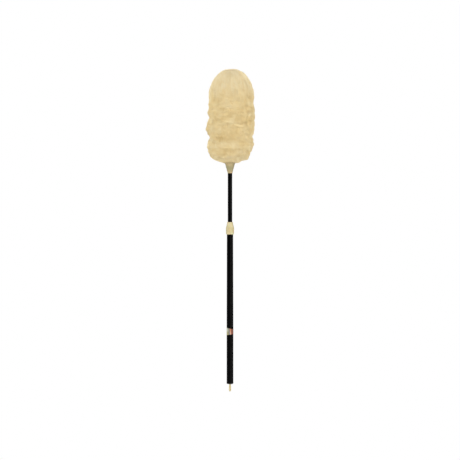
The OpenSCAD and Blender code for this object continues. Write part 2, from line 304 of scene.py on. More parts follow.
def black_plastic():
    """Satin black extruded tube with fine drawn lines and faint rubbed patches."""
    finish = Finish("black_plastic", Specular_IOR_Level=0.16)
    lines = finish.noise((900, 900, 6), 2)
    patches = finish.noise((60, 60, 22), 4)
    worn = finish.spread(patches, 0, 1, 0.5, 0.75)
    finish.colour(finish.mix(worn, paint(1, 1, 2), paint(5, 5, 5)))
    finish.rough(finish.product(lines, patches), 0.3, 0.5)
    finish.bump(lines, 0.01 * MM, 0.3)
    return finish.material


def levels_on(name, low, high):
    """Two levels, given in millimetres over a node's foot."""
    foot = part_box(name)[0].z
    return foot + low * MM, foot + high * MM


def cream_plastic(name, light, deep, streak, shade_levels):
    """Injection-moulded cream plastic: cloudy, satin, and a little see-through at its edges.
    The last two levels bound a zone painted darker as shade: the shadow of the wool on the ferrule, and
    shade on the collar's grip below its paler lip."""
    finish = Finish(name, Specular_IOR_Level=0.4, Subsurface_Weight=0.12, Subsurface_Scale=2 * MM)
    clouds = finish.noise((120, 120, 60), 3)
    flow_marks = finish.noise((520, 520, streak), 3)
    grain = finish.noise((2600, 2600, 2600), 2)
    body = finish.ramp(clouds, [(0.3, deep), (0.7, light)])
    # Painted shade: between the two levels the colour is pulled towards the deep colour, together with the
    # real flow marks.
    level = finish.spread(finish.across_and_up()[1], 0, 1, *shade_levels)
    painted_shade_band = finish.ramp(level, [(0, grey(0)), (0.3, grey(0.45)), (0.7, grey(0.45)), (1, grey(0))])
    marks = finish.sum(finish.spread(flow_marks, 0, 0.55), painted_shade_band)
    finish.colour(finish.mix(marks, body, deep))
    finish.rough(clouds, 0.36, 0.5)
    finish.bump(finish.sum(grain, flow_marks), 0.04 * MM, 0.5)
    return finish.material


def white_plastic():
    """Natural nylon of the inner parts, milky with sliding marks along the pole."""
    finish = Finish(
        "white_plastic", Specular_IOR_Level=0.45, Subsurface_Weight=0.2, Subsurface_Scale=2 * MM,
    )
    clouds = finish.noise((150, 150, 150), 3)
    rubbing = finish.noise((1500, 1500, 40), 2)
    finish.colour(finish.ramp(clouds, [(0.3, paint(205, 203, 192)), (0.7, paint(232, 231, 224))]))
    finish.rough(rubbing, 0.3, 0.5)
    finish.bump(rubbing, 0.03 * MM, 0.5)
    return finish.material


def black_rubber():
    """Matte rubber of the glide's ring, with a dusty bloom."""
    finish = Finish("black_rubber", Specular_IOR_Level=0.3)
    bloom = finish.noise((400, 400, 400), 4)
    finish.colour(finish.ramp(bloom, [(0.35, paint(24, 24, 25)), (0.75, paint(62, 61, 58))]))
    finish.rough(bloom, 0.7, 0.92)
    finish.bump(bloom, 0.06 * MM, 0.6)
    return finish.material


def steel():
    """Zinc-plated steel of the pins, screws and staples, with turning marks."""
    finish = Finish("steel", Metallic=1.0)
    marks = finish.noise((600, 3000, 3000), 3)
    tarnish = finish.noise((300, 300, 300), 3)
    finish.colour(finish.ramp(tarnish, [(0.3, paint(158, 156, 150)), (0.7, paint(203, 204, 205))]))
    finish.rough(marks, 0.24, 0.42)
    finish.bump(marks, 0.02 * MM, 0.5)
    return finish.material


def hide():
    """Suede back of the sheepskin: pores, nap and uneven tanning."""
    finish = Finish("hide", Specular_IOR_Level=0.15)
    tanning = finish.noise((70, 70, 70), 4)
    nap = finish.noise((1500, 1500, 1500), 3)
    pores = finish.noise((4200, 4200, 4200), 2)
    body = finish.ramp(tanning, [(0.3, paint(196, 172, 128)), (0.7, paint(221, 203, 165))])
    finish.colour(finish.mix(finish.spread(nap, 0, 0.35), body, paint(168, 142, 98)))
    finish.rough(nap, 0.8, 0.98)
    finish.bump(finish.sum(nap, pores), 0.2 * MM, 0.8)
    return finish.material


def stitching():
    """Waxed thread with its twist showing as slanting bands."""
    finish = Finish("stitching", Specular_IOR_Level=0.3)
    twist = finish.noise((900, 900, 4200), 2)
    finish.colour(finish.ramp(twist, [(0.35, paint(172, 156, 112)), (0.65, paint(220, 209, 172))]))
    finish.rough(twist, 0.5, 0.8)
    finish.bump(twist, 0.08 * MM, 0.7)
    return finish.material


LABEL_SLANT = 0.12


def label_paper():
    """A wrap of plain colour fields from silver on the left to dark red on the right, with no text."""
    finish = Finish("label_paper", Specular_IOR_Level=0.3, Coat_Weight=0.1, Coat_Roughness=0.25)
    across, up = finish.across_and_up()
    low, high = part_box("label")
    half_width = high.x
    share = finish.spread(across, 0, 1, -half_width, half_width)
    height = finish.spread(up, 0, 1, low.z, high.z)
    slant = finish.sum(share, finish.product(height, LABEL_SLANT))
    upper = finish.ramp(slant, [
        (0.16, paint(184, 188, 166)), (0.30, paint(170, 170, 148)), (0.37, paint(120, 121, 116)),
        (0.54, paint(96, 92, 84)), (0.58, paint(204, 146, 106)), (0.66, paint(188, 118, 80)),
        (0.71, paint(124, 70, 46)), (1.0, paint(122, 68, 50)),
    ])
    lower = finish.ramp(slant, [
        (0.16, paint(164, 156, 116)), (0.30, paint(130, 123, 80)), (0.37, paint(112, 112, 110)),
        (0.53, paint(130, 124, 128)), (0.58, paint(212, 168, 140)), (0.66, paint(194, 136, 106)),
        (0.71, paint(132, 76, 58)), (1.0, paint(116, 60, 46)),
    ])
    print_colour = finish.mix(finish.spread(height, 1, 0, 0.35, 0.65), upper, lower)
    specks = finish.noise((1800, 1800, 1800), 2)
    finish.colour(finish.mix(finish.spread(specks, 0, 0.06), print_colour, paint(225, 222, 212)))
    finish.rough(specks, 0.3, 0.45)
    finish.bump(specks, 0.02 * MM, 0.4)
    return finish.material


def streaked_fibre(name, root, deep, middle, pale, lines, distance, sheen):
    """Fibre that runs along the attribute flow, with painted shade at its roots, where the attribute tone
    is low.
    """
    finish = Finish(
        name, Specular_IOR_Level=0.12, Sheen_Weight=sheen, Sheen_Roughness=0.6,
        Subsurface_Weight=0.12, Subsurface_Scale=1.5 * MM,
        Subsurface_Radius=(1, 0.85, 0.6),
    )
    flow = finish.attribute("flow").outputs["Vector"]
    tone = finish.attribute("tone").outputs["Fac"]
    streaks = finish.noise(lines, 3, flow, 0.6)
    patches = finish.noise((38, 38, 46), 3)
    tinted = finish.sum(tone, finish.spread(streaks, -0.1, 0.1))
    tinted = finish.sum(tinted, finish.spread(patches, -0.05, 0.05))
    # The lowest stop is the painted shade at the roots and in the hollows, where the tone is low.
    finish.colour(finish.ramp(tinted, [(0.0, root), (0.22, deep), (0.5, middle), (1.0, pale)]))
    finish.rough(streaks, 0.82, 0.98)
    finish.bump(streaks, distance, 0.6)
    return finish.material


finishes = {
    "black_plastic": black_plastic(),
    # The collar's two levels mark its grip, which is painted darker as shade below the paler lip.
    "cream_plastic": cream_plastic(
        "cream_plastic", paint(215, 206, 168), paint(196, 181, 136), 60, levels_on("lock_collar", 1, 25),
    ),
    "white_plastic": white_plastic(),
    "label_paper": label_paper(),
    "black_rubber": black_rubber(),
    "steel": steel(),
    "hide": hide(),
    "stitching": stitching(),
    "cotton_cord": streaked_fibre(
        "cotton_cord", paint(120, 104, 62), paint(158, 142, 92), paint(208, 190, 132), paint(228, 214, 168),
        (2600, 2600, 260), 0.12 * MM, 0.1,
    ),
    "lambswool": streaked_fibre(
        "lambswool", paint(200, 170, 110), paint(228, 201, 142), paint(242, 219, 163), paint(254, 242, 208),
        (1500, 1500, 90), 0.3 * MM, 0.15,
    ),
}
# The ferrule's colours are painted darker and warmer than the collar's, and its darker zone is painted too,
# as the shade that the wool casts over it.
ferrule_plastic_painted_shade = cream_plastic(
    "ferrule_plastic_painted_shade", paint(206, 184, 140), paint(146, 138, 102), 30, levels_on("ferrule", 1, 24),
)


def dress(piece, slot):
    """Gives a new piece the finish of one of the record's material slots."""
    piece.data.materials.append(finishes[slot])


def dress_cad_nodes():
    for name, slot in SLOT_OF_NODE.items():
        nodes[name].data.materials.clear()
        nodes[name].data.materials.append(ferrule_plastic_painted_shade if name == "ferrule" else finishes[slot])


SLOT_OF_NODE = {
    "outer_tube": "black_plastic", "end_cap": "black_plastic", "inner_tube": "black_plastic",
    "label": "label_paper", "lock_collar": "cream_plastic", "ferrule": "cream_plastic",
    "lock_base": "white_plastic", "lock_collet": "white_plastic", "thrust_washer": "white_plastic",
    "glide_bush": "white_plastic", "tube_plug": "white_plastic", "head_core": "white_plastic",
    "core_end_plug": "white_plastic", "glide_ring": "black_rubber",
    "insert_pins": "steel", "bush_screw": "steel", "bush_washer": "steel",
    "ferrule_pin": "steel", "core_screws": "steel", "pelt_staples": "steel",
    "pelt_sleeve": "hide", "pelt_seam": "stitching",
}


def floor_paint():
    finish = Finish("floor_paint", Specular_IOR_Level=0.2)
    clouds = finish.noise((3, 3, 3), 3)
    finish.colour(finish.ramp(clouds, [(0.3, paint(238, 238, 236)), (0.7, paint(243, 243, 242))]))
    finish.rough(clouds, 0.7, 0.8)
    return finish.material


# ---- meshes from arrays ----

def mesh_piece(name, points, face_groups, **attributes):
    """A smooth-shaded object. Each face group is an array with one face in each row."""
    corners = np.concatenate([group.ravel() for group in face_groups])
    sizes = np.concatenate([np.full(len(group), group.shape[1]) for group in face_groups])
    mesh = bpy.data.meshes.new(name)
    mesh.vertices.add(len(points))
    mesh.vertices.foreach_set("co", points.astype(np.float32).ravel())
    mesh.loops.add(len(corners))
    mesh.loops.foreach_set("vertex_index", corners.astype(np.int32))
    mesh.polygons.add(len(sizes))
    mesh.polygons.foreach_set("loop_start", (np.cumsum(sizes) - sizes).astype(np.int32))
    mesh.update(calc_edges=True)
    mesh.polygons.foreach_set("use_smooth", np.ones(len(sizes), bool))
    for label, values in attributes.items():
        wide = values.ndim == 2
        made = mesh.attributes.new(label, "FLOAT_VECTOR" if wide else "FLOAT", "POINT")
        made.data.foreach_set("vector" if wide else "value", values.astype(np.float32).ravel())
    piece = bpy.data.objects.new(name, mesh)
    scene.collection.objects.link(piece)
    return piece


def tube_piece(name, centres, across, lift, widths, flatness, sides, tone, closed=False):
    """Many tubes in one piece. Centres, across and lift are (tube, ring, 3), widths and tone
    (tube, ring). A closed tube joins its last ring to its first, and an open one has flat ends.
    Flow holds the way round and the way along, with an offset that tells the tubes apart."""
    count, rings, _ = centres.shape
    turns = (np.arange(sides) / sides + 0.25) * FULL_TURN
    sideways = across[:, :, None, :] * np.cos(turns)[:, None]
    upward = lift[:, :, None, :] * np.sin(turns)[:, None] * flatness
    points = centres[:, :, None, :] + (sideways + upward) * widths[:, :, None, None] / 2
    first = np.arange(count)[:, None, None] * rings * sides
    ring = np.arange(rings if closed else rings - 1)[:, None]
    side = np.arange(sides)
    here, there = first + ring * sides, first + (ring + 1) % rings * sides
    beside = (side + 1) % sides
    walls = np.stack([here + side, here + beside, there + beside, there + side], axis=-1)
    groups = [walls.reshape(-1, 4)]
    if not closed:
        starts = first[:, 0, :]
        groups += [starts + side[::-1], starts + (rings - 1) * sides + side]
    steps = np.linalg.norm(np.diff(centres, axis=1, prepend=centres[:, :1]), axis=-1)
    along = np.cumsum(steps, axis=1)[:, :, None] + first[:, :1] * 7 * MM
    around = widths[:, :, None] * np.abs(np.arange(sides) / sides - 0.5) * 3
    flow = np.stack([around, around + first[:, :1] * MM, along + 0 * around], axis=-1)
    shade = np.repeat(tone[:, :, None], sides, axis=2)
    return mesh_piece(name, points.reshape(-1, 3), groups, flow=flow.reshape(-1, 3), tone=shade.ravel())


def sides_of(centres, up, closed=False):
    """Directions across a tube and up from it, from its ring centres and a rough up direction."""
    if closed:
        ahead = unit(np.roll(centres, -1, axis=-2) - np.roll(centres, 1, axis=-2))
    else:
        ahead = unit(np.gradient(centres, axis=-2))
    across = unit(np.cross(up, ahead))
    return across, np.cross(ahead, across)


# ---- cord, knot and tie ----

def smooth_route(points, steps):
    """Ring centres of a curve that passes through all the points (Catmull-Rom)."""
    points = np.array(points, float)
    ends = np.vstack([2 * points[0] - points[1], points, 2 * points[-1] - points[-2]])
    t = np.linspace(0, 1, steps, endpoint=False)[:, None]
    spans = []
    for a, b, c, d in zip(ends, ends[1:], ends[2:], ends[3:]):
        bend, twist = 2 * a - 5 * b + 4 * c - d, 3 * b - a - 3 * c + d
        spans.append(0.5 * (2 * b + (c - a) * t + bend * t ** 2 + twist * t ** 3))
    return np.vstack(spans + [points[-1:]])


ROPE_STRANDS = 3
ROPE_STRAND_SHARE = 0.54


def rope(name, route, up, diameter, pitch, closed=False):
    """A laid rope: strands that wind round the route, one turn in each pitch."""
    steps = np.linalg.norm(np.diff(route, axis=0, prepend=route[:1]), axis=1)
    along = np.cumsum(steps)
    if closed:
        around = along[-1] + np.linalg.norm(route[0] - route[-1])
        pitch = around / round(around / pitch)
    across, lift = sides_of(route, np.broadcast_to(up, route.shape), closed)
    strand_width = diameter * ROPE_STRAND_SHARE
    offset = (diameter - strand_width) / 2
    starts = np.arange(ROPE_STRANDS)[:, None] * FULL_TURN / ROPE_STRANDS
    turns = starts + along[None, :] * FULL_TURN / pitch
    outward = across * np.cos(turns)[:, :, None] + lift * np.sin(turns)[:, :, None]
    centres = route + outward * offset
    strand_across, strand_lift = sides_of(centres, outward, closed)
    widths = np.full(centres.shape[:2], strand_width)
    tone = 0.5 + 0.12 * np.sin(starts * 5 + along[None, :] / (9 * MM))
    piece = tube_piece(name, centres, strand_across, strand_lift, widths, 1, 12, tone, closed)
    dress(piece, "cotton_cord")
    return piece


LOOP_TURN = math.radians(72)
CORD_DIAMETER = 3 * MM
CORD_PITCH = 7.5 * MM
# Half of the loop's route in its own plane, in millimetres aside and up, as in the CAD model
LOOP_HALF = [
    (-1.6, -3), (-1.6, -5), (-1.8, -7.5), (-2.6, -10.5), (-3.9, -13.5),
    (-5.2, -16.5), (-5.9, -20), (-5.2, -23.8), (-3, -26),
]
LOOP_FOOT = (0, -26.8)


def hanging_loop():
    """The cord loop below the end cap, and the overhand knot that holds it inside."""
    flat = LOOP_HALF + [LOOP_FOOT] + [(-side, up) for side, up in reversed(LOOP_HALF)]
    sideways = Vector((math.cos(LOOP_TURN), math.sin(LOOP_TURN), 0))
    normal = Vector((-math.sin(LOOP_TURN), math.cos(LOOP_TURN), 0))
    points = [(sideways * side + Vector((0, 0, up))) * MM for side, up in flat]
    route = smooth_route(points, 6)
    loop = rope("hanging_cord", route, np.array(normal), CORD_DIAMETER, CORD_PITCH)
    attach(loop, "handle")
    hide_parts("hang_loop")
    knot, lint = knot_piece(), cord_lint(route)
    length = float(np.linalg.norm(np.diff(route, axis=0), axis=1).sum())


def cord_lint(route):
    """Cotton fibres that stand off the loop below the cap."""
    draw = seeded(15)
    hanging = route[route[:, 2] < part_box("end_cap")[0].z]
    count, rings = 300, 5
    base = hanging[draw.integers(0, len(hanging), count)]
    t = np.linspace(0, 1, rings)[None, :, None]
    outward, sway = unit(draw.normal(size=(2, count, 1, 3)))
    in_the_cord = 0.42 * CORD_DIAMETER
    length = draw.uniform(0.6, 1.5, (count, 1, 1)) * MM
    bend = np.sin(t * draw.uniform(1, 4, (count, 1, 1))) * sway
    centres = base[:, None] + outward * (in_the_cord + 0.7 * t * length) + bend * length
    across, lift = sides_of(centres, sway + 0 * centres)
    widths = 0.11 * MM * np.linspace(1, 0.5, rings) + np.zeros((count, 1))
    tone = 0.6 + draw.normal(0, 0.08, (count, 1)) + 0 * widths
    lint = tube_piece("cord_lint", centres, across, lift, widths, 1, 3, tone)
    dress(lint, "cotton_cord")
    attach(lint, "handle")
    return lint


def knot_piece():
    """A trefoil of cord that fills the knot's place in the cap."""
    low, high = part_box("loop_knot")
    middle = np.array((low + high) / 2)
    turns = np.linspace(0, FULL_TURN, 96, endpoint=False)
    size = (high.x - low.x - CORD_DIAMETER) / 2
    swing = size / 3
    route = np.stack([
        swing * (np.sin(turns) + 2 * np.sin(2 * turns)),
        swing * (np.cos(turns) - 2 * np.cos(2 * turns)),
        -0.75 * CORD_DIAMETER * np.sin(3 * turns),
    ], axis=1)
    tightened = 0.8 * CORD_DIAMETER
    knot = rope("cord_knot", middle + route, UPWARD, tightened, CORD_PITCH, closed=True)
    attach(knot, "handle")
    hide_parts("loop_knot")
    return knot


def neck_twine():
    """The twine that ties the hide to the core just above the ferrule."""
    low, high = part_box("neck_tie")
    thickness = high.z - low.z
    radius = high.x - thickness / 2
    turns = np.linspace(0, FULL_TURN, 360, endpoint=False)
    level = np.full_like(turns, (low.z + high.z) / 2)
    route = np.stack([radius * np.cos(turns), radius * np.sin(turns), level], axis=1)
    tie = rope("neck_twine", route, UPWARD, thickness, 8 * MM, closed=True)
    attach(tie, "pole")
    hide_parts("neck_tie")


# ---- wool ----

class Fleece:
    """The wool's outside as a grid of rings from the neck (row 0) to the crown, round the pole.
    Reach is a distance along the wool from the neck, and level a height over the wool's foot."""

    ROWS, COLUMNS, INNER_ROWS = 224, 412, 16
    LOCK_STRANDS = 11
    STRANDS_DEPTH = 2.2 * MM    # room that the body leaves for the strands
    CRIMP_LENGTH = 10 * MM
    TIE_CLEARANCE = 0.2 * MM
    HIDE_CLEARANCE = 0.6 * MM
    FLOW_RADIUS = 60 * MM
    # Scale of noise up the wool: folds and banks of shade lie flat, and combed strokes run along it
    FOLD_SQUASH, BANK_SQUASH, STROKE_STRETCH = 3.4, 3.2, 0.14
    # Levels between which the loose wool gives way to the smooth dome
    DOME_LEVELS = 153.5 * MM, 208.5 * MM
    # The upper half of the head leans to the right, which starts between these levels
    LEAN, LEAN_LEVELS = 4.2 * MM, (101.5 * MM, 131.5 * MM)

    def __init__(self):
        self.low, self.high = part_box("wool_pile")
        self.neck_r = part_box("neck_tie")[1].x + self.TIE_CLEARANCE
        self.r, self.z = self.outline()
        self.length = self.arc[-1]
        self.turns = np.arange(self.COLUMNS) * FULL_TURN / self.COLUMNS
        slope_r, slope_z = np.gradient(self.r), np.gradient(self.z)
        steep = np.hypot(slope_r, slope_z)
        self.rest = self.turned(self.r, self.z)
        self.level = self.rest[:, :, 2] - self.low.z
        self.out = self.turned(slope_z / steep, -slope_r / steep)
        self.shape()

    def turned(self, radius, height):
        """A grid of points from radii and heights, carried round the pole."""
        ones = np.ones(self.COLUMNS)
        sides = [np.outer(radius, np.cos(self.turns)), np.outer(radius, np.sin(self.turns))]
        return np.stack(sides + [np.outer(height, ones)], axis=-1)

    def outline(self):
        """Radius and height of evenly spaced points: a rounded foot, a fuller middle and a dome."""
        full_r, foot_h, dome_h = self.high.x, 63 * MM, 80 * MM
        power, dome_share = 2.6, 0.95
        low, high = self.low.z + foot_h, self.high.z - dome_h
        t = (1 - (self.neck_r / full_r) ** power) ** (1 / power) * np.cos(np.linspace(0, math.pi / 2, 80))
        foot = full_r * (1 - t ** power) ** (1 / power), low - foot_h * t
        t = np.linspace(0, 1, 60)[1:]
        side = full_r * (1 + (dome_share - 1) * t ** 2), low + (high - low) * t
        t = np.sin(np.linspace(0, math.pi / 2, 120))[1:]
        dome = full_r * dome_share * np.sqrt(np.maximum(1 - t ** 2, 0)), high + dome_h * t
        radius, height = (np.concatenate(parts) for parts in zip(foot, side, dome))
        reach = np.concatenate([[0], np.cumsum(np.hypot(np.diff(radius), np.diff(height)))])
        self.arc = np.linspace(0, reach[-1] - 0.8 * MM, self.ROWS)
        return np.interp(self.arc, reach, radius), np.interp(self.arc, reach, height)

    def shape(self):
        """Pushes the outside in and out: hollows where the fleece parts, lumps, folds and locks.
        The dome is combed smooth, and the wool below it is loose."""
        self.relief, self.lock_tone = self.stamp_locks()
        self.parting = self.partings()
        self.loose = 1 - 0.75 * smooth_step(self.level, *self.DOME_LEVELS)
        flattened = self.rest * np.array([1, 1, self.FOLD_SQUASH])
        folds = 1.0 * MM * wave_noise(flattened, 46 * MM, 5) + 0.3 * MM * wave_noise(flattened, 22 * MM, 6)
        strokes = self.flow_space(self.turns[None, :], self.arc[:, None] * self.STROKE_STRETCH)
        self.combed = (1 - 0.6 * self.loose) * wave_noise(strokes, 8 * MM, 12)
        push = self.lumps() + self.relief - self.parting - self.STRANDS_DEPTH + self.loose * folds
        push += 0.3 * MM * wave_noise(self.rest, 34 * MM, 7) + 0.25 * MM * self.combed
        settle = smooth_step(self.arc, 0, 9 * MM)[:, None]
        self.points = self.rest + self.out * (push * settle)[:, :, None]
        pushed_level = self.points[:, :, 2] - self.low.z
        self.points[:, :, 0] += self.LEAN * smooth_step(pushed_level, *self.LEAN_LEVELS)
        round_way = np.roll(self.points, -1, axis=1) - np.roll(self.points, 1, axis=1)
        up_way = np.gradient(self.points, axis=0)
        self.normals = unit(np.cross(round_way, up_way))

    def partings(self):
        """Depth of the soft hollows that run round the head, one below the other."""
        total = np.zeros_like(self.level)
        for index, (level, depth, half) in enumerate(PARTINGS):
            far_apart = 5 * (self.low.z + level)
            ring = self.flow_space(self.turns, far_apart)
            wander = 5.5 * MM * wave_noise(ring, 95 * MM, 40 + index)
            wander += 2 * MM * wave_noise(ring, 34 * MM, 50 + index)
            fade = np.clip(0.75 + 0.4 * wave_noise(ring, 60 * MM, 60 + index), 0.15, 1.4)
            above = self.level - (level + wander)
            width = np.where(above > 0, half * 1.5, half * 0.75)
            total += depth * fade * np.exp(-0.5 * (above / width) ** 2)
        return total

    def lumps(self):
        """Bulges and hollows at listed places."""
        total = np.zeros(self.rest.shape[:2])
        for turn, radius, level, wide, tall, amount in LUMPS:
            angle = math.radians(turn)
            centre = np.array([radius * math.cos(angle), radius * math.sin(angle), self.low.z + level])
            away = (self.rest - centre) / np.array([wide, wide, tall])
            total += amount * np.exp(-0.5 * (away ** 2).sum(axis=-1))
        return total

    def places(self, spacing, seed):
        """Evenly spread places over the head, as angles and distances from the neck."""
        draw = seeded(seed)
        turns, reaches = [], []
        for reach in np.arange(spacing, self.length, spacing):
            radius = np.interp(reach, self.arc, self.r)
            count = max(3, round(FULL_TURN * radius / spacing))
            start = draw.uniform(0, FULL_TURN)
            turns.append(start + (np.arange(count) + draw.uniform(-0.4, 0.4, count)) * FULL_TURN / count)
            reaches.append(reach + draw.uniform(-0.45, 0.45, count) * spacing)
        return np.concatenate(turns), np.clip(np.concatenate(reaches), 0, self.length)

    def flow_space(self, turn, reach):
        """Places for noise that follows the wool: round the head, and along it from the neck."""
        round_way = self.FLOW_RADIUS * np.cos(turn), self.FLOW_RADIUS * np.sin(turn)
        return np.stack(np.broadcast_arrays(*round_way, reach), axis=-1)

    def lay(self, turn, reach):
        """How far the combed wool swings from straight down, in radians: least on the dome."""
        where = self.flow_space(turn, reach)
        amount = 1 - 0.75 * smooth_step(reach, 0.55 * self.length, 0.78 * self.length)
        return amount * (0.5 * wave_noise(where, 60 * MM, 8) + 0.09 * wave_noise(where, 20 * MM, 9))

    def stamp_locks(self):
        """Height of overlapping locks that lie down over the head, and each one's own shade."""
        draw = seeded(21)
        relief = np.zeros((self.ROWS, self.COLUMNS))
        shade = np.zeros_like(relief)
        turns, reaches = self.places(6.2 * MM, 22)
        count = len(turns)
        lays = self.lay(turns, reaches) + draw.normal(0, 0.1, count)
        lengths = draw.uniform(14, 25, count) * MM
        widths = draw.uniform(5, 9, count) * MM
        heights = draw.uniform(0.35, 1.0, count) * MM
        locks = zip(turns, reaches, lays, lengths, widths, heights, draw.normal(0, 1, count))
        step = self.arc[1]
        for turn, reach, lay, length, width, height, own in locks:
            radius = max(np.interp(reach, self.arc, self.r), 9 * MM)
            first = max(0, int((reach - length - width) / step))
            last = min(self.ROWS, int((reach + width) / step) + 1)
            spread = min(FULL_TURN / 2 - 0.01, (width + length * abs(math.sin(lay))) / radius)
            middle, half = turn / FULL_TURN * self.COLUMNS, int(spread / FULL_TURN * self.COLUMNS) + 1
            columns = np.arange(int(middle) - half, int(middle) + half + 1)
            down = reach - self.arc[first:last, None]
            aside = (columns[None, :] - middle) * FULL_TURN / self.COLUMNS * radius
            t = (down * math.cos(lay) + aside * math.sin(lay)) / length
            off = aside * math.cos(lay) - down * math.sin(lay)
            inside = np.clip(1 - (2 * off / width) ** 2, 0, 1) * smooth_step(t, -0.05, 0.25)
            body = height * (0.35 + 0.65 * np.clip(t, 0, 1)) * (1 - smooth_step(t, 0.78, 1.0)) * inside
            window = np.ix_(range(first, last), columns % self.COLUMNS)
            higher = body > relief[window]
            shade[window] = np.where(higher, own * np.clip(body / height, 0, 1), shade[window])
            relief[window] = np.where(higher, body, relief[window])
        return relief, shade

    def radius(self, reach):
        """How far round the head a turn carries, kept off zero at the crown."""
        return np.maximum(np.interp(reach, self.arc, self.r), 8 * MM)

    def at(self, turn, reach, values):
        """Values of a grid at angles and distances from the neck, blended from the nearest four."""
        column = np.mod(turn, FULL_TURN) / FULL_TURN * self.COLUMNS
        row = np.clip(reach / self.length, 0, 1) * (self.ROWS - 1)
        left, low = np.floor(column).astype(int), np.minimum(np.floor(row).astype(int), self.ROWS - 2)
        x, y = column - left, row - low
        left, right = left % self.COLUMNS, (left + 1) % self.COLUMNS
        if values.ndim == 3:
            x, y = x[..., None], y[..., None]
        below = values[low, left] * (1 - x) + values[low, right] * x
        above = values[low + 1, left] * (1 - x) + values[low + 1, right] * x
        return below * (1 - y) + above * y

    def tone(self):
        """Tone of the outside, with painted light and shade: paler by level at the foot and top, paler
        where the locks stand high near their tips, and painted shade deeper in the partings.
        """
        tone = np.interp(self.level, *np.array(PAINTED_LIGHT_BY_LEVEL).T)
        # Painted light: raised locks are paler, and lower places darker.
        tone += 0.0375 * self.relief / MM + 0.015 * self.lock_tone
        banks = self.points * np.array([1, 1, self.BANK_SQUASH])
        tone += 0.035 * self.loose * wave_noise(banks, 44 * MM, 11) + 0.05 * self.combed
        # Painted shade: the partings' hollows are darker.
        return np.clip(tone - self.parting / (30 * MM), 0.05, 0.95)

    def body_piece(self):
        """The closed body of the wool: its outside, and an inner wall that clears the hide."""
        hide_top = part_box("pelt_sleeve")[1].z + self.HIDE_CLEARANCE
        shoulder = hide_top - 9 * MM
        turn_in = np.linspace(0.06, 1, self.INNER_ROWS) * math.pi / 2
        inner_r = np.append(self.neck_r * np.sin(turn_in), self.neck_r)
        inner_z = np.append(shoulder + (hide_top - shoulder) * np.cos(turn_in), self.low.z + 1.5 * MM)
        grid = np.concatenate([self.points, self.turned(inner_r, inner_z)])
        crown = self.points[-1].mean(axis=0) + np.array([0, 0, 0.15 * MM])
        points = np.vstack([grid.reshape(-1, 3), crown, (0, 0, hide_top)])
        column = np.arange(self.COLUMNS)
        beside = (column + 1) % self.COLUMNS
        here = np.delete(np.arange(len(grid)), self.ROWS - 1)[:, None] * self.COLUMNS
        there = (here + self.COLUMNS) % (len(grid) * self.COLUMNS)
        walls = np.stack([here + column, here + beside, there + beside, there + column], axis=-1)
        rim, inner_rim = (self.ROWS - 1) * self.COLUMNS, self.ROWS * self.COLUMNS
        top, inner_top = np.full_like(column, len(points) - 2), np.full_like(column, len(points) - 1)
        fans = np.vstack([
            np.stack([rim + column, rim + beside, top], axis=1),
            np.stack([inner_rim + beside, inner_rim + column, inner_top], axis=1),
        ])
        outside = self.ROWS * self.COLUMNS
        flow, tone = np.zeros((len(points), 3)), np.full(len(points), 0.3)
        flow[:outside] = self.flow_space(self.turns[None, :], self.arc[:, None]).reshape(-1, 3)
        # The outside of the body is painted darker than the strands' tone, as shade in the gaps between the
        # strands.
        tone[:outside] = self.base_tone.ravel() - 0.32
        piece = mesh_piece("wool_body", points, [walls.reshape(-1, 4), fans], flow=flow, tone=tone)
        self.finish(piece)
        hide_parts("wool_pile")

    def finish(self, piece):
        dress(piece, "lambswool")
        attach(piece, "pole")

    def combed_down(self, turn, reach, length, own_lay, rings):
        """Angles and reaches of the rings of each lock, walked down from its root with the lay."""
        step = length / (rings - 1)
        turns, reaches = [turn], [reach]
        for _ in range(rings - 1):
            lay = self.lay(turns[-1], reaches[-1]) + own_lay
            turns.append(turns[-1] + step * np.sin(lay) / self.radius(reaches[-1]))
            reaches.append(reaches[-1] - step * np.cos(lay))
        return np.stack(turns, axis=1)[:, None], np.stack(reaches, axis=1)[:, None]

    def strands(self, name, turn, reach, seed, rings, lengths, sizes, height):
        """Locks of crimped strands that lie along the wool and draw together towards their tips."""
        draw = seeded(seed)
        count = len(turn)
        length = np.minimum(draw.uniform(*lengths, count) * MM, reach * 0.9)
        turns, reaches = self.combed_down(turn, reach, length, draw.normal(0, 0.05, count), rings)
        in_lock = (count, self.LOCK_STRANDS, 1)
        t = np.linspace(0, 1, rings)

        # Strands start apart, and draw together towards the tip
        aside = draw.uniform(-4.6, 4.6, in_lock) * MM * (1 - 0.55 * t ** 1.5)
        turns = turns + aside / self.radius(reaches)
        reaches = np.clip(reaches + draw.normal(0, 2.6 * MM, in_lock) * (1 - 0.4 * t), 0, self.length)
        normals = unit(self.at(turns, reaches, self.normals))
        centres = self.at(turns, reaches, self.points)
        across, _ = sides_of(centres, normals)

        # Neighbours wave nearly in step, because the beat changes slowly over the head
        beat = 1.6 * wave_noise(self.flow_space(turn, reach), 24 * MM, 10)[:, None, None]
        crimp = t * length[:, None, None] * FULL_TURN / self.CRIMP_LENGTH + beat
        crimp = crimp + draw.normal(0, 0.5, in_lock)
        swing = draw.uniform(0.25, 0.6, in_lock) * MM * (0.4 + 0.6 * t)

        # Roots are buried except at the crown, and a few tips curl up
        curl = draw.uniform(0, 1, (count, 1, 1)) ** 3 * 1.3 * MM
        layer = draw.uniform(0.2, 1.0, in_lock) * MM
        at_crown = smooth_step(reaches, self.length - 14 * MM, self.length - 5 * MM)
        buried = 0.8 * MM * (1 - t) ** 3 * (1 - at_crown)
        past_neck = 0.4 + 0.6 * smooth_step(reaches, 8 * MM, 40 * MM)
        rise = 0.2 * MM + layer * np.sin(t * 2.6) + curl * t ** 2 - buried
        rise = height * (rise + 0.5 * swing * np.cos(crimp)) * past_neck
        centres = centres + normals * rise[..., None] + across * (swing * np.sin(crimp))[..., None]

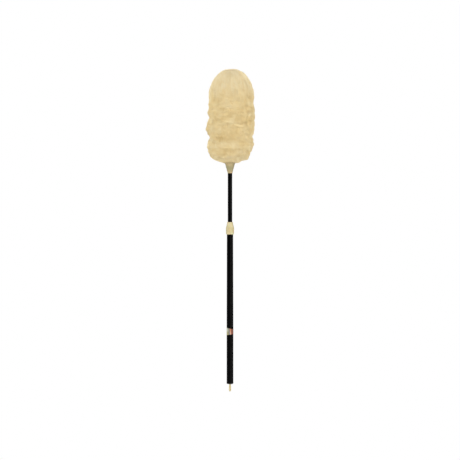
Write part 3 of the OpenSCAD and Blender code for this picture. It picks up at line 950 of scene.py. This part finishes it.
        taper = np.interp(t, [0, 0.2, 0.6, 0.85, 1], [0.5, 1, 0.95, 0.6, 0.2])
        widths = draw.uniform(*sizes, in_lock) * MM * taper
        own = draw.normal(0, 0.02, (count, 1, 1)) + draw.normal(0, 0.03, in_lock)
        # Painted shade along each strand: darker at the root, paler at the tip.
        tone = np.clip(self.at(turns, reaches, self.base_tone) + own + 0.08 * (t - 0.4), 0.05, 0.98)
        centres, normals = centres.reshape(-1, rings, 3), normals.reshape(-1, rings, 3)
        across, lift = sides_of(centres, normals)
        widths, tone = widths.reshape(-1, rings), tone.reshape(-1, rings)
        self.finish(tube_piece(name, centres, across, lift, widths, 0.55, 3, tone))

    def fuzz(self, name, count, seed):
        """Single fibres that stand off the surface and soften its edge."""
        draw = seeded(seed)
        rings = 5
        row_share = np.cumsum(self.r + 6 * MM)
        reach = np.interp(draw.uniform(0, row_share[-1], count), row_share, self.arc)
        turn = draw.uniform(0, FULL_TURN, count)
        base = self.at(turn, reach, self.points)
        normal = unit(self.at(turn, reach, self.normals))

        # A fibre rooted at the neck has no place below it, so the nudge gives it a direction
        nudge = 1e-7
        down = unit(self.at(turn, reach - 3 * MM, self.points) - base + nudge)
        beside = np.cross(normal, down)
        t = np.linspace(0, 1, rings)[None, :, None]
        length = draw.uniform(4, 9, count)[:, None, None] * MM
        stand = draw.uniform(0.15, 0.6, count)[:, None, None]
        sway = draw.normal(0, 0.5, count)[:, None, None]
        curl = draw.normal(0, 1.1, count)[:, None, None]
        path = normal[:, None] * (stand * t - 0.12 * t ** 2) + down[:, None] * (0.75 * t + 0.2 * t ** 2)
        path += beside[:, None] * (sway * t + 0.22 * np.sin(curl * 3 * t + sway * 9) * t)
        centres = base[:, None] + path * length - normal[:, None] * 0.4 * MM
        across, lift = sides_of(centres, np.broadcast_to(normal[:, None], centres.shape))
        taper = np.array([1, 1, 0.9, 0.7, 0.3])
        widths = draw.uniform(0.14, 0.28, count)[:, None] * MM * taper
        tone = 0.6 + draw.normal(0, 0.05, count)[:, None] + 0 * widths
        self.finish(tube_piece(name, centres, across, lift, widths, 1, 3, tone))

    def fringe(self, name, count, seed):
        """Strands that hang from the foot of the wool round the top of the ferrule."""
        def each(low, high):
            return draw.uniform(low, high, count)[:, None]

        draw = seeded(seed)
        t = np.linspace(0, 1, 8)
        turn = each(0, FULL_TURN) + draw.normal(0, 0.05, count)[:, None] * t
        start_r = self.neck_r + each(0, 9.4) * MM
        end_r = np.maximum(self.neck_r + each(-1.8, 0) * MM, start_r - 8 * MM)
        under_side = slice(60)
        start_z = np.interp(start_r, self.r[under_side], self.z[under_side]) + 0.8 * MM
        end_z = self.low.z - each(-0.8, 2.0) * MM
        radius = start_r + (end_r - start_r) * t
        height = start_z + (end_z - start_z) * t ** 1.5 + 0.4 * MM * np.sin(t * 11 + start_r * 900)
        centres = np.stack([radius * np.cos(turn), radius * np.sin(turn), height], axis=-1)
        centres[:, :, 0] += 0.5 * MM * np.sin(t * 9 + start_r * 700) * t
        across, lift = sides_of(centres, np.broadcast_to((0, 0, -1.0), centres.shape))
        taper = np.interp(t, [0, 0.3, 0.8, 1], [0.6, 1, 0.7, 0.25])
        widths = each(0.45, 0.9) * MM * taper
        tone = 0.42 + draw.normal(0, 0.05, count)[:, None] + 0.1 * t
        self.finish(tube_piece(name, centres, across, lift, widths, 0.6, 3, tone))

    def coat(self, name, spacing, parts, seed, **form):
        """One layer of locks over the whole head, in several pieces from the foot up, with a few
        more roots close round the crown."""
        turn, reach = self.places(spacing, seed)
        crown_turn, crown_gap = seeded(seed + 50).uniform(0, 1, (2, 36))
        turn = np.append(turn, crown_turn * FULL_TURN)
        reach = np.append(reach, self.length - crown_gap * 5 * MM)
        for index, chosen in enumerate(np.array_split(np.argsort(reach), parts), 1):
            self.strands(f"{name}_{index}", turn[chosen], reach[chosen], seed + index, **form)

    def pieces(self):
        self.base_tone = self.tone()
        self.body_piece()
        underlay = {"rings": 5, "lengths": (8, 14), "sizes": (0.7, 1.3), "height": 0.35}
        topcoat = {"rings": 12, "lengths": (17, 30), "sizes": (0.36, 0.76), "height": 1}
        self.coat("wool_underlay", 8.6 * MM, 3, 30, **underlay)
        self.coat("wool_strands", 5.6 * MM, 16, 70, **topcoat)
        self.fuzz("wool_fuzz", 6500, 80)
        self.fringe("wool_fringe", 700, 81)


# Level and tone of the wool, painted as light and shade: paler at the foot and the top, darker round the
# middle
PAINTED_LIGHT_BY_LEVEL = [
    (0, 0.62),
    (45 * MM, 0.60),
    (95 * MM, 0.55),
    (140 * MM, 0.515),
    (175 * MM, 0.56),
    (250 * MM, 0.79),
]

# Level, depth and half width of each hollow that runs round the head
PARTINGS = [
    (224.5 * MM, 0.6 * MM, 7 * MM),
    (168.5 * MM, 2.2 * MM, 8 * MM),
    (116.5 * MM, 1.6 * MM, 6 * MM),
    (69.5 * MM, 4.2 * MM, 8 * MM),
    (30.5 * MM, 3.0 * MM, 8 * MM),
]

# Turn in degrees, then radius, level, half width, half height and amount of each bulge or hollow
LUMPS = [
    (180, 68 * MM, 119.5 * MM, 24 * MM, 9 * MM, -3.6 * MM),
    (180, 68 * MM, 100.5 * MM, 24 * MM, 8 * MM, 2.2 * MM),
    (180, 67 * MM, 71.5 * MM, 26 * MM, 10 * MM, -7.6 * MM),
    (180, 66 * MM, 50.5 * MM, 22 * MM, 8 * MM, -1.0 * MM),
    (180, 58 * MM, 21.5 * MM, 22 * MM, 7 * MM, 2.2 * MM),
    (0, 68 * MM, 107.5 * MM, 24 * MM, 11 * MM, 4.4 * MM),
    (0, 68 * MM, 66.5 * MM, 24 * MM, 8 * MM, -4.6 * MM),
    (-2, 66 * MM, 52.5 * MM, 20 * MM, 7 * MM, 2.4 * MM),
    (-10, 58 * MM, 22.5 * MM, 22 * MM, 6 * MM, 0.6 * MM),
    (-35, 26 * MM, 0.5 * MM, 7 * MM, 7 * MM, 5.5 * MM),
    (-60, 67 * MM, 138.5 * MM, 20 * MM, 10 * MM, 1.4 * MM),
    (-112, 67 * MM, 85.5 * MM, 24 * MM, 9 * MM, 1.5 * MM),
    (-78, 66 * MM, 49.5 * MM, 22 * MM, 9 * MM, 1.6 * MM),
    (-140, 66 * MM, 121.5 * MM, 18 * MM, 9 * MM, -1.3 * MM),
    (60, 67 * MM, 101.5 * MM, 24 * MM, 11 * MM, 1.8 * MM),
    (118, 67 * MM, 147.5 * MM, 22 * MM, 10 * MM, 1.6 * MM),
    (95, 66 * MM, 55.5 * MM, 24 * MM, 10 * MM, 1.8 * MM),
]


hanging_loop()
neck_twine()
Fleece().pieces()
dress_cad_nodes()
make_floor().data.materials.append(floor_paint())
